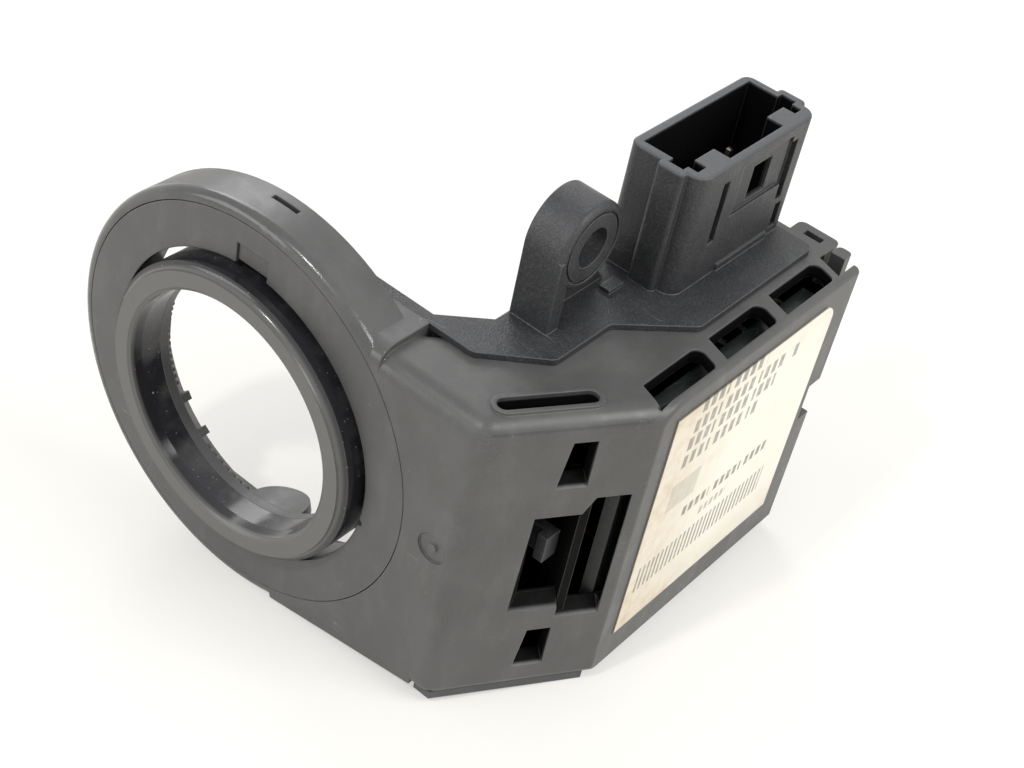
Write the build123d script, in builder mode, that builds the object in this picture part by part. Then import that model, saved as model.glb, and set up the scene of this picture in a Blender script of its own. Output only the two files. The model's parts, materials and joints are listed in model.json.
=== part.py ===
from build123d import *
from math import atan2, cos, degrees, hypot, radians, sin, sqrt
import os

# Immobiliser ring antenna and control unit, in millimetres.
# The origin is the centre of the lock ring on the housing's front plane.
# X runs to the right along the front face, Y back from it, Z up.

# Sleeve that the lock barrel passes through, and the hub that carries it
lock_bore_radius = 15.25
sleeve_width = 3.45
sleeve_reach = 2.6
sleeve_wall = 1.0
sleeve_edge_round = 0.9
sleeve_bore_round = 0.6
sleeve_seat = 2.0
hub_rim = 1.3
hub_cone = 2.3
spoke_gap = 1.9
spoke_width = 13.0
spoke_count = 4
spoke_thickness = 1.8

# Ring moulding round the sleeve, with its coil channel
ring_depth = 6.0
ring_edge_round = 1.1
ring_wall = 1.4
ring_web = 1.2
coil_wall = 1.0
channel_width = 3.5
cover_lip = 1.0
cover_thickness = 1.2
cover_gap = 0.12
key_angle = 90.0
key_width = 4.7
key_depth = 2.5
key_gap = 0.12
key_recess = 0.3
bite_angle = -10.0
bite_radius = 0.5
rim_slot_length = 3.8
rim_slot_width = 0.7
rim_slot_y = 4.4

# Teeth, pegs and tongue on the hub's rear rim
coarse_tooth_count = 8
coarse_tooth_angle = -89.0
coarse_tooth_pitch = -4.3
fine_tooth_count = 14
fine_tooth_angle = 166.0
fine_tooth_pitch = 3.3
tooth_height = 0.45
tooth_depth = 0.8
coarse_tooth_width = 0.7
fine_tooth_width = 0.45
peg_angles = (-143.3, -126.0)
peg_width = 1.1
peg_height = 1.4
tongue_angle = -73.5
tongue_radius = 4.15
tongue_thickness = 1.1
tongue_setback = 0.15

# Antenna coil and its bobbin
bobbin_gap = 0.1
bobbin_side_gap = 0.2
bobbin_wall = 0.8
bobbin_flange = 0.6
coil_margin = 0.6
lead_radius = 0.25
lead_spacing = 2.4
lead_bend = 0.7
lead_slack = 2.6

# Arm between the ring and the electronics box
arm_step = 1.5
arm_back_margin = 1.7
arm_top_step = 0.8
arm_top_length = 13.9
arm_cavity_length = 4.2

# Electronics box, seen from above
back_clearance = 0.4
back_slant_run = 4.7
back_slant_rise = 4.6
front_face_length = 9.9
corner_run = 10.9
chamfer_depth = 17.0
label_wall_length = 39.2
box_top = 20.0
box_bottom = -21.5
wall = 1.8
label_wall = 0.95
cover_plate = 1.4
top_edge_round = 2.2
front_edge_round = 2.6
label_edge_round = 0.7
bottom_edge_round = 1.3

# Slots in the top wall, beside the label wall
slot_width = 3.5
slot_setback = 1.4
slot_length = 10.3
slot_pitch = 12.15
slot_count = 3
slot_slant = 1.3
slot_round = 1.1
notch_length = 2.2
nose_slot_width = 1.9
nose_slot_length = 11.2
nose_slot_start = 2.4
nose_slot_inset = 2.2
nose_slot_rim = 0.55
nose_slot_rim_height = 0.3

# Windows in the slanted corner wall: start and end along the wall, low and high z
upper_window = (10.5, 13.2, 11.2, 16.9)
catch_window = (8.9, 13.6, -7.0, 6.2)
board_window = (13.5, 18.8, -8.9, 8.5)
lower_window = (10.7, 13.5, -17.3, -12.0)
board_window_step = 1.2
board_window_sill = 1.5
bulkhead_width = 1.1
bulkhead_depth = 4.6
bulkhead_setback = 0.6

# Bevels of the small windows and of the catch window: at the foot, at the head, and the sill
window_bevels = (0.9, 0.1, 0.85)
catch_window_bevels = (1.4, 0.8, 1.7)
window_bevel_depth = 1.5

# Gate mark on the front face
gate_setback = 3.1
gate_z = 0.5
gate_radius = 2.0
gate_depth = 0.25
gate_nub_radius = 0.55

# Rear latch eye and label wall end
latch_setback = 7.2
latch_length = 5.7
latch_reach = 2.6
latch_overlap = 1.2
latch_slot_length = 2.5
latch_slot_width = 1.1
latch_slot_reach = 0.85
latch_height = 6.0
latch_round = 0.9
post_setback = 3.15
post_width = 1.9
post_depth = 1.9
post_height = 7.0
tail_notch_depth = 2.5
tail_notch_low = -2.5
tail_notch_high = 3.0

# Raised flange of the rear cover, on the housing's top wall
flange_thickness = 0.8
flange_front_length = 2.0
flange_step_length = 8.5
flange_step_rise = 5.95
flange_step_end_y = 22.9
flange_side_gap = 1.15
flange_side_y = 30.6
flange_rear_setback = 2.0
flange_round = 1.2

# Foot flange of the rear cover, under the housing's bottom wall
foot_thickness = 1.2
foot_gap = 0.15
foot_front_x = 27.0
foot_front_y = 0.9
foot_inset = 0.6
foot_tip_inset = 0.9
foot_side_inset = 3.0
foot_side_setback = 4.0
foot_rear_setback = 6.2

# Fixing lug on the rear cover
lug_setback = 0.1
lug_thickness = 5.1
lug_hole_radius = 2.4
lug_centre_y = 20.95
lug_centre_z = 29.95
lug_radius = 5.25
lug_edge_round = 0.7
lug_web = 2.6
lug_groove_radius = 4.2
lug_groove_width = 0.35
lug_groove_depth = 0.35
lug_front_wall = 1.9
lug_gusset_length = 2.7
lug_gusset_height = 3.6
lug_gusset_overlap = 0.4
lug_block_setback = 0.6
lug_block_length = 2.6
lug_block_width = 1.4
lug_block_height = 0.5

# Connector shroud on the rear cover
shroud_setback = 0.1
shroud_width = 10.0
shroud_y = 31.9
shroud_length = 23.1
shroud_top = 36.3
shroud_corner = 1.8
shroud_back_corner = 1.3
shroud_edge_round = 0.35
shroud_wall = 1.1
shroud_far_wall = 1.0
shroud_end_wall = 1.1
socket_floor = 25.4
socket_floor_thickness = 2.2
key_block_length = 3.2
near_key_start = 2.8
near_key_width = 3.6
far_key_end = 2.6
far_key_width = 3.3
key_pocket_wall = 1.6
end_rib_start = 4.3
end_rib_width = 3.6
end_rib_depth = 0.9
end_rib_round = 0.6
end_rib_wall = 0.8
panel_recess = 0.4
panel_start_y = 40.3
panel_end_y = 50.6
panel_low = 28.3
panel_high = 34.9
lock_window_y = 43.6
lock_window_width = 3.8
lock_window_low = 28.8
lock_window_high = 33.4
groove_width = 1.3
groove_depth = 0.7
groove_low = 26.0
groove_high = 34.1
near_groove_y = 36.7
foot_slot_low = 21.8
foot_slot_high = 25.2
foot_ledge_height = 0.9
foot_ledge_width = 0.5

# Snap arms of the rear cover
snap_thickness = 1.3
snap_width = 3.6
snap_setback = 1.5
snap_lip = 1.0
snap_reach = 16.7
snap_root = 0.1
rear_snap_reach = 17.4
rear_snap_setback = 3.8

# Circuit board
board_wall_gap = 1.55
board_thickness = 1.6
board_gap = 0.12
board_rear_setback = 4.8
board_low_gap = 3.0
board_high_gap = 3.0
rail_height = 1.6
rail_width = 1.1
rail_front_setback = 4.0
rail_rear_setback = 7.2

# Terminals
pin_size = 0.64
pin_row_offsets = (3.4, 6.2)
pin_row_drops = (13.6, 10.6)
pin_columns = 4
pin_pitch = 4.0
pin_start_y = 37.2
pin_reach = 4.8
pin_bend = 0.9
pin_hole_radius = 0.55
pin_hole_gap = 0.02
pin_tail = 0.9

# Label
label_thickness = 0.15
label_front_setback = 2.7
label_rear_setback = 3.8
label_low_gap = 5.1
label_high_gap = 2.7
label_corner = 0.9
label_large_corner = 3.0

# Leaded packages on the board: place (y, z), size, and leads (count, pitch, width)
package_standoff = 0.1
package_leg = 0.18
package_reach = 1.0
controller_place = (27.0, 3.0)
controller_size = (10.0, 10.0, 1.4)
controller_leads = (11, 0.8, 0.35)
transceiver_place = (27.5, -12.0)
transceiver_size = (8.7, 3.9, 1.5)
transceiver_leads = (7, 1.1, 0.42)
regulator_place = (44.5, -13.2)
regulator_size = (6.5, 6.1, 2.2)
regulator_leads = (3, 2.28, 0.8)
diode_place = (37.5, -14.0)
diode_size = (3.0, 2.6, 1.9)
diode_leads = (1, 1.0, 1.9)

# Small chip components: first place of each row and column, spacing, and size
chip_capacitor_size = (1.6, 0.8, 0.8)
capacitor_row_place = (21.0, 12.2)
capacitor_row_pitch = 3.1
capacitor_column_place = (35.2, 6.0)
capacitor_column_pitch = 2.4
chip_resistor_size = (1.6, 0.8, 0.45)
resistor_row_place = (21.0, -6.6)
resistor_row_pitch = 2.6
resistor_column_place = (49.9, -1.0)
resistor_column_pitch = 2.0

# Electrolytic capacitors, crystal and choke
electrolytic_place = (40.2, 4.6)
electrolytic_pitch = 7.0
electrolytic_radius = 3.15
electrolytic_height = 5.6
electrolytic_base_margin = 0.15
electrolytic_base_height = 0.9
can_edge = 0.4
crystal_place = (38.6, -6.4)
crystal_length = 8.0
crystal_width = 3.0
crystal_height = 3.5
crystal_flange = 0.3
crystal_flange_height = 0.5
choke_place = (45.6, -4.0)
choke_radius = 2.6
choke_core_radius = 1.7
choke_flange = 0.8
choke_height = 3.2

# Worked out from the sizes above
sleeve_radius = lock_bore_radius + sleeve_width
coil_wall_radius = sleeve_radius + spoke_gap
channel_inner_radius = coil_wall_radius + coil_wall
channel_radius = channel_inner_radius + channel_width
ring_radius = channel_radius + ring_wall
cover_bore_radius = coil_wall_radius - cover_lip
cover_radius = channel_radius - cover_gap
channel_floor = ring_depth - ring_web
bobbin_flange_radius = channel_radius - bobbin_side_gap
coil_radius = bobbin_flange_radius - coil_margin
hub_rear = sleeve_seat + hub_rim
arm_inner_y = ring_depth + arm_step
arm_depth = arm_inner_y + cover_plate
arm_back_radius = coil_wall_radius + arm_back_margin
arm_top = box_top + arm_top_step
back_face_x = arm_back_radius + back_clearance
arm_corner_x = back_face_x - back_slant_run
back_corner_y = arm_depth + back_slant_rise
front_corner_x = back_face_x + front_face_length
label_face_x = front_corner_x + corner_run
box_rear_y = chamfer_depth + label_wall_length
arm_step_x = front_corner_x - arm_top_length
arm_cavity_x = front_corner_x - arm_cavity_length
corner_length = hypot(corner_run, chamfer_depth)
corner_angle = degrees(atan2(chamfer_depth, corner_run))
cover_inner_x = back_face_x + cover_plate
label_inner_x = label_face_x - label_wall
slot_outer_x = label_inner_x
slot_inner_x = slot_outer_x - slot_width
slot_start_y = chamfer_depth + slot_setback
notch_start_y = box_rear_y - notch_length
flange_top = box_top + flange_thickness
flange_front_x = back_face_x + flange_front_length
flange_step_x = back_face_x + flange_step_length
flange_step_start_y = arm_inner_y + flange_step_rise
flange_side_x = slot_inner_x - flange_side_gap
flange_rear_y = box_rear_y - flange_rear_setback
lug_x = back_face_x + lug_setback
shroud_x = back_face_x + shroud_setback
shroud_end_x = shroud_x + shroud_width
shroud_end_y = shroud_y + shroud_length
board_front_x = label_inner_x - board_wall_gap
board_x = board_front_x - board_thickness
board_rear_y = box_rear_y - board_rear_setback
board_low = box_bottom + board_low_gap
board_high = box_top - board_high_gap
label_start_y = chamfer_depth + label_front_setback
label_end_y = box_rear_y - label_rear_setback
label_low = box_bottom + label_low_gap
label_high = box_top - label_high_gap


def facing_front(y):
    """Plane that faces the front at depth y, with its own y axis up."""
    return Plane(origin=(0, y, 0), x_dir=(1, 0, 0), z_dir=(0, -1, 0))


def facing_side(x):
    """Plane that faces the label side at x, with its own x axis to the back."""
    return Plane(origin=(x, 0, 0), x_dir=(0, 1, 0), z_dir=(1, 0, 0))


def facing_corner(depth):
    """Plane of the slanted corner wall, depth below its outer face."""
    inward = Vector(-sin(radians(corner_angle)), cos(radians(corner_angle)), 0)
    origin = Vector(front_corner_x, 0, 0) + inward * depth
    along = (cos(radians(corner_angle)), sin(radians(corner_angle)), 0)
    return Plane(origin=origin, x_dir=along, z_dir=-inward)


def on_ring(angle, radius, y):
    """Plane on the ring at an angle, facing outwards, with its own y axis forwards."""
    radial = (cos(radians(angle)), 0, sin(radians(angle)))
    along = (-sin(radians(angle)), 0, cos(radians(angle)))
    origin = (radius * radial[0], y, radius * radial[2])
    return Plane(origin=origin, x_dir=along, z_dir=radial)


def back_line(offset):
    """Corners of the rear cover's bent back wall, offset inwards from its outer face."""
    length = hypot(back_slant_run, back_slant_rise)
    level = (back_slant_rise * arm_corner_x - back_slant_run * arm_depth) / length + offset
    y = arm_depth - offset
    x = back_face_x + offset
    bend_x = (level * length + back_slant_run * y) / back_slant_rise
    bend_y = (back_slant_rise * x - level * length) / back_slant_run
    return bend_x, y, x, bend_y


arm_bend_x, arm_bend_y, back_bend_x, back_bend_y = back_line(cover_plate)
tangent_slope = atan2(box_bottom + ring_radius, front_corner_x)
tangent_angle = 2 * tangent_slope
tangent_x = ring_radius * sin(tangent_angle)
tangent_z = -ring_radius * cos(tangent_angle)
bobbin_inner_radius = channel_inner_radius + bobbin_gap
bobbin_front = cover_thickness + bobbin_gap
bobbin_rear = channel_floor
coil_inner_radius = bobbin_inner_radius + bobbin_wall
coil_front = bobbin_front + bobbin_flange
coil_rear = bobbin_rear - bobbin_flange


def corner_depth_y(x, inset):
    """Depth y at which the slanted wall, inset from its outer face, crosses x."""
    return ((x - front_corner_x) * chamfer_depth + inset * corner_length) / corner_run


def corner_depth_x(y, inset):
    """Place x at which the slanted wall, inset from its outer face, crosses depth y."""
    return front_corner_x + (y * corner_run - inset * corner_length) / chamfer_depth


inner_front_x = corner_depth_x(wall, wall)
inner_corner_y = corner_depth_y(label_inner_x, wall)
board_start_y = corner_depth_y(board_front_x, wall + board_gap)
nose_slot_place = facing_corner(nose_slot_inset + nose_slot_width / 2).origin
nose_slot_place += facing_corner(0).x_dir * (nose_slot_start + nose_slot_length / 2)
nose_slot_place = Location((nose_slot_place.X, nose_slot_place.Y, 0), (0, 0, corner_angle))
hub_back = channel_floor + ring_web / 2
tooth_middle = lock_bore_radius + tooth_depth / 2
key_middle = cover_bore_radius + key_depth / 2
socket_start_y = shroud_y + shroud_end_wall
socket_length = shroud_length - 2 * shroud_end_wall
key_block_x = shroud_end_x - key_block_length
near_key_y = shroud_y + near_key_start
near_key_end_y = near_key_y + near_key_width
far_key_y = shroud_end_y - far_key_end - far_key_width
end_rib_x = shroud_x + end_rib_start
lug_rise = lug_centre_z - box_top
lug_front_y = lug_centre_y - lug_radius
lug_block_y = lug_centre_y + lug_radius + lug_block_setback
front_snap_y = arm_depth + snap_setback
front_snap_start = arm_corner_x + (snap_setback + snap_thickness) * back_slant_run / back_slant_rise
front_snap_start += snap_root
front_snap_end = front_snap_start + snap_reach
rear_snap_y = box_rear_y - rear_snap_setback
lead_y = (coil_front + coil_rear) / 2
rail_start_y = chamfer_depth + rail_front_setback
rail_end_y = box_rear_y - rail_rear_setback
foot_tip_x = label_face_x - foot_tip_inset
foot_side_x = label_face_x - foot_side_inset
foot_side_y = chamfer_depth + foot_side_setback
foot_arm_x = front_corner_x - front_edge_round + foot_gap
foot_arm_y = ring_depth + foot_gap
pin_rows = [shroud_x + offset for offset in pin_row_offsets]
pin_tip = socket_floor + pin_reach
gate_x = front_corner_x - gate_setback
latch_x = label_face_x - latch_setback
post_x = label_face_x - post_setback

# Main housing: the box and the arm
with BuildPart() as main_housing:
    with BuildSketch(Plane.XY.offset(box_bottom)):
        with BuildLine():
            Polyline(
                (arm_bend_x, 0),
                (front_corner_x, 0),
                (label_face_x, chamfer_depth),
                (label_face_x, box_rear_y),
                (back_bend_x, box_rear_y),
                (back_bend_x, back_bend_y),
                (arm_bend_x, arm_inner_y),
                close=True,
            )
        make_face()
    extrude(amount=box_top - box_bottom)
    upright = main_housing.edges().filter_by(Axis.Z)
    fillet(upright.sort_by_distance((front_corner_x, 0, 0))[0], front_edge_round)
    rim = main_housing.edges().group_by(Axis.Z)[-1]
    nose = [e for e in rim if e.center().Y < chamfer_depth - 1]
    nose = [e for e in nose if e.center().X > arm_bend_x + 1]
    fillet(nose, top_edge_round)
    keel = main_housing.edges().group_by(Axis.Z)[0]
    outer_low = [e for e in keel if e.center().Y < chamfer_depth - 1]
    outer_low = [e for e in outer_low if e.center().X > arm_bend_x + 1]
    fillet(outer_low, bottom_edge_round)
    upright = main_housing.edges().filter_by(Axis.Z)
    fillet(upright.sort_by_distance((label_face_x, chamfer_depth, 0))[0], label_edge_round)

    # Arm that joins the ring to the box, with its raised top
    with BuildSketch(facing_front(0)):
        with BuildLine():
            Polyline(
                (0, arm_top),
                (arm_step_x, arm_top),
                (arm_step_x, 0),
                (front_corner_x - front_edge_round, 0),
                (front_corner_x - front_edge_round, box_bottom),
                (tangent_x, tangent_z),
                (0, 0),
                close=True,
            )
        make_face()
    extrude(amount=-ring_depth)
    with BuildSketch(facing_front(ring_depth)):
        with BuildLine():
            Polyline(
                (0, arm_top),
                (arm_step_x, arm_top),
                (arm_step_x, box_bottom),
                (0, box_bottom),
                close=True,
            )
        make_face()
        Circle(arm_back_radius, mode=Mode.SUBTRACT)
    extrude(amount=-(arm_inner_y - ring_depth))
    arm_edges = main_housing.edges().filter_by(Axis.X).group_by(Axis.Z)[-1]
    fillet(arm_edges.sort_by(Axis.Y)[0], top_edge_round)

    # Ring disc with its rounded front edge
    with BuildSketch(Plane.XY):
        with BuildLine():
            Polyline(
                (ring_radius - ring_edge_round, 0),
                (0, 0),
                (0, ring_depth),
                (ring_radius, ring_depth),
                (ring_radius, ring_edge_round),
            )
            RadiusArc(
                (ring_radius, ring_edge_round),
                (ring_radius - ring_edge_round, 0),
                ring_edge_round,
            )
        make_face()
    revolve(axis=Axis.Y)

    # Seat of the ring cover, coil channel, and the opening through the ring
    with BuildSketch(facing_front(0)):
        Circle(channel_radius)
    extrude(amount=-cover_thickness, mode=Mode.SUBTRACT)
    with BuildSketch(facing_front(0)):
        Circle(channel_radius)
        Circle(channel_inner_radius, mode=Mode.SUBTRACT)
    extrude(amount=-channel_floor, mode=Mode.SUBTRACT)
    with BuildSketch(facing_front(0)):
        Circle(coil_wall_radius)
    extrude(amount=-arm_depth, mode=Mode.SUBTRACT)
    with Locations((0, rim_slot_y, ring_radius)):
        Box(rim_slot_length, rim_slot_width, 2 * ring_wall, mode=Mode.SUBTRACT)

    # Hub that seats the sleeve, on its spokes
    with BuildSketch(Plane.XY):
        with BuildLine():
            Polyline(
                (lock_bore_radius, sleeve_seat),
                (sleeve_radius, sleeve_seat),
                (sleeve_radius, hub_back),
                (lock_bore_radius + hub_cone, hub_back),
                (lock_bore_radius + tooth_depth, hub_rear),
                (lock_bore_radius, hub_rear),
                close=True,
            )
        make_face()
    revolve(axis=Axis.Y)
    with BuildSketch(facing_front(ring_depth - spoke_thickness)):
        spoke_start = sleeve_radius - sleeve_wall
        spoke_end = coil_wall_radius + coil_wall / 2
        with PolarLocations((spoke_start + spoke_end) / 2, spoke_count):
            Rectangle(spoke_end - spoke_start, spoke_width)
        Circle(spoke_end, mode=Mode.INTERSECT)
    extrude(amount=-spoke_thickness)

    # Key block that fills the ring cover's notch
    with BuildSketch(facing_front(key_recess)):
        with PolarLocations(key_middle, 1, start_angle=key_angle):
            Rectangle(key_depth - 4 * key_gap, key_width - 2 * key_gap)
    extrude(amount=key_recess - cover_thickness)

    # Teeth and pegs along the hub's rear rim
    with BuildSketch(facing_front(hub_rear - tooth_height)):
        for tooth in range(coarse_tooth_count):
            angle = coarse_tooth_angle + tooth * coarse_tooth_pitch
            with PolarLocations(tooth_middle, 1, start_angle=angle):
                Rectangle(tooth_depth, coarse_tooth_width)
        for tooth in range(fine_tooth_count):
            angle = fine_tooth_angle + tooth * fine_tooth_pitch
            with PolarLocations(tooth_middle, 1, start_angle=angle):
                Rectangle(tooth_depth, fine_tooth_width)
    extrude(amount=-2 * tooth_height)
    with BuildSketch(facing_front(hub_rear - tooth_height)):
        for angle in peg_angles:
            with PolarLocations(tooth_middle, 1, start_angle=angle):
                Rectangle(tooth_depth, peg_width)
    extrude(amount=-(peg_height + tooth_height))

    # Rounded tongue behind the hub, just clear of the bore
    with BuildSketch(on_ring(tongue_angle, lock_bore_radius - tongue_thickness, hub_rear)):
        Circle(tongue_radius)
        Rectangle(
            2 * tongue_radius,
            tongue_radius,
            align=(Align.CENTER, Align.MIN),
            mode=Mode.SUBTRACT,
        )
    extrude(amount=2 * tongue_thickness)
    with BuildSketch(facing_front(hub_rear + tongue_radius)):
        Circle(lock_bore_radius + tongue_setback)
    extrude(amount=tongue_radius, mode=Mode.SUBTRACT)

    # Space for the board, open towards the rear cover
    with BuildSketch(Plane.XY.offset(box_bottom + wall)):
        with BuildLine():
            Polyline(
                (arm_cavity_x, wall),
                (inner_front_x, wall),
                (label_inner_x, inner_corner_y),
                (label_inner_x, box_rear_y - wall),
                (back_face_x, box_rear_y - wall),
                (back_face_x, back_bend_y),
                (arm_cavity_x, back_bend_y),
                close=True,
            )
        make_face()
    extrude(amount=box_top - box_bottom - 2 * wall, mode=Mode.SUBTRACT)

    # Guide rails for the board's lower edge
    with BuildSketch(facing_front(rail_start_y)):
        with BuildLine():
            Polyline(
                (board_x - board_gap - rail_width, box_bottom + wall / 2),
                (board_x - board_gap - rail_width, board_low + rail_height),
                (board_x - board_gap, board_low + rail_height),
                (board_x - board_gap, board_low),
                (board_front_x + board_gap, board_low),
                (board_front_x + board_gap, board_low + rail_height),
                (label_inner_x + label_wall / 2, board_low + rail_height),
                (label_inner_x + label_wall / 2, box_bottom + wall / 2),
                close=True,
            )
        make_face()
    extrude(amount=-(rail_end_y - rail_start_y))

    # Passages for the coil leads and for the front snap arm
    with BuildSketch(facing_front(coil_front)):
        with Locations((channel_inner_radius + coil_wall, 0)):
            Rectangle(
                arm_cavity_x - channel_inner_radius,
                2 * lead_spacing,
                align=(Align.MIN, Align.CENTER),
            )
    extrude(amount=coil_front - coil_rear, mode=Mode.SUBTRACT)
    with BuildSketch(facing_side(arm_corner_x)):
        with Locations((front_snap_y + snap_thickness / 2, 0)):
            Rectangle(2 * snap_thickness, snap_width + snap_lip)
    extrude(amount=arm_cavity_x + wall - arm_corner_x, mode=Mode.SUBTRACT)


    # Opening in the top wall, under the connector shroud
    with Locations((back_face_x, socket_start_y, box_top)):
        Box(
            shroud_end_x - shroud_far_wall - back_face_x,
            socket_length,
            3 * wall,
            align=(Align.MIN, Align.MIN, Align.CENTER),
            mode=Mode.SUBTRACT,
        )

    # Slots beside the label wall
    for number in range(slot_count):
        slot_low = slot_start_y + number * slot_pitch
        with BuildSketch(Plane.XY.offset(box_top - 2 * wall)) as slot:
            with BuildLine():
                Polyline(
                    (slot_inner_x, slot_low),
                    (slot_outer_x, slot_low - slot_slant),
                    (slot_outer_x, slot_low - slot_slant + slot_length),
                    (slot_inner_x, slot_low + slot_length),
                    close=True,
                )
            make_face()
            fillet(slot.vertices().sort_by(Axis.Y)[-2:], slot_round)
        extrude(amount=3 * wall, mode=Mode.SUBTRACT)

    # Open notch behind the slots, with its post, and the latch eye
    with BuildSketch(Plane.XY.offset(box_top - 2 * wall)):
        with BuildLine():
            Polyline(
                (slot_inner_x, notch_start_y),
                (slot_outer_x, notch_start_y - slot_slant),
                (slot_outer_x, box_rear_y + wall),
                (slot_inner_x, box_rear_y + wall),
                close=True,
            )
        make_face()
    extrude(amount=3 * wall, mode=Mode.SUBTRACT)
    with BuildSketch(Plane.XY.offset(box_top - post_height)) as post:
        with Locations((post_x, box_rear_y)):
            Rectangle(post_width, post_depth, align=(Align.CENTER, Align.MIN))
        fillet(post.vertices().sort_by(Axis.Y)[-2:], post_depth / 3)
    extrude(amount=post_height)
    with BuildSketch(Plane.XY.offset(box_top - latch_height)) as latch:
        with Locations((latch_x, box_rear_y - latch_overlap)):
            Rectangle(
                latch_length,
                latch_overlap + latch_reach,
                align=(Align.CENTER, Align.MIN),
            )
        fillet(latch.vertices().sort_by(Axis.Y)[-2:], latch_round)
    extrude(amount=latch_height)
    with Locations((latch_x, box_rear_y + latch_slot_reach, box_top)):
        Box(
            latch_slot_length,
            latch_slot_width,
            3 * latch_height,
            mode=Mode.SUBTRACT,
        )

    # Notch in the rear end of the label wall
    with Locations((label_inner_x, box_rear_y, (tail_notch_low + tail_notch_high) / 2)):
        Box(
            2 * wall,
            2 * tail_notch_depth,
            tail_notch_high - tail_notch_low,
            mode=Mode.SUBTRACT,
        )

    # Rimmed slot along the slanted corner
    with BuildSketch(Plane.XY.offset(box_top - wall / 2)):
        with Locations(nose_slot_place):
            SlotOverall(nose_slot_length + 2 * nose_slot_rim, nose_slot_width + 2 * nose_slot_rim)
    extrude(amount=wall / 2 + nose_slot_rim_height)
    with BuildSketch(Plane.XY.offset(box_top + nose_slot_rim_height)):
        with Locations(nose_slot_place):
            SlotOverall(nose_slot_length, nose_slot_width)
    extrude(amount=-3 * wall, mode=Mode.SUBTRACT)

    # Small windows and catch window in the slanted corner wall
    window_shapes = (
        (upper_window, window_bevels),
        (catch_window, catch_window_bevels),
        (lower_window, window_bevels),
    )
    for (start, end, low, high), (foot_bevel, head_bevel, sill) in window_shapes:
        with BuildSketch(facing_corner(0)):
            with BuildLine():
                Polyline(
                    (start - foot_bevel, low - sill),
                    (end, low - sill),
                    (end, high),
                    (start - head_bevel, high),
                    close=True,
                )
            make_face()
        with BuildSketch(facing_corner(window_bevel_depth)):
            with BuildLine():
                Polyline((start, low), (end, low), (end, high), (start, high), close=True)
            make_face()
        loft(mode=Mode.SUBTRACT)
        with BuildSketch(facing_corner(0)):
            with Locations((start, low)):
                Rectangle(end - start, high - low, align=(Align.MIN, Align.MIN))
        extrude(amount=-2 * wall, mode=Mode.SUBTRACT)

    # Board window, open to the label wall, and the bulkhead beside the catch window
    start, end, low, high = board_window
    for depth, sill in ((0, board_window_sill), (window_bevel_depth, 0)):
        with BuildSketch(facing_corner(depth)):
            with BuildLine():
                Polyline(
                    (start, low - sill),
                    (end, low - sill),
                    (end, high),
                    (start + board_window_step, high),
                    (start, catch_window[3]),
                    close=True,
                )
            make_face()
    loft(mode=Mode.SUBTRACT)
    with BuildSketch(facing_corner(window_bevel_depth / 2)):
        with BuildLine():
            Polyline(
                (start, low),
                (end, low),
                (end, high),
                (start + board_window_step, high),
                (start, catch_window[3]),
                close=True,
            )
        make_face()
    extrude(amount=-2 * wall, mode=Mode.SUBTRACT)
    with Locations((board_front_x, corner_depth_y(board_front_x, 0), low)):
        Box(
            label_inner_x - board_front_x,
            inner_corner_y - corner_depth_y(board_front_x, 0),
            high - low,
            align=(Align.MIN, Align.MIN, Align.MIN),
            mode=Mode.SUBTRACT,
        )
    with BuildSketch(facing_corner(bulkhead_setback)):
        with Locations((catch_window[1], low - board_window_sill)):
            Rectangle(
                bulkhead_width,
                high - low + board_window_sill,
                align=(Align.MIN, Align.MIN),
            )
    extrude(amount=-bulkhead_depth)

    # Gate mark on the front face
    with BuildSketch(facing_front(0)):
        with Locations((gate_x, gate_z)):
            Circle(gate_radius)
            Circle(gate_nub_radius, mode=Mode.SUBTRACT)
    extrude(amount=-gate_depth, mode=Mode.SUBTRACT)

main_housing.part.label = "main_housing"

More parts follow.
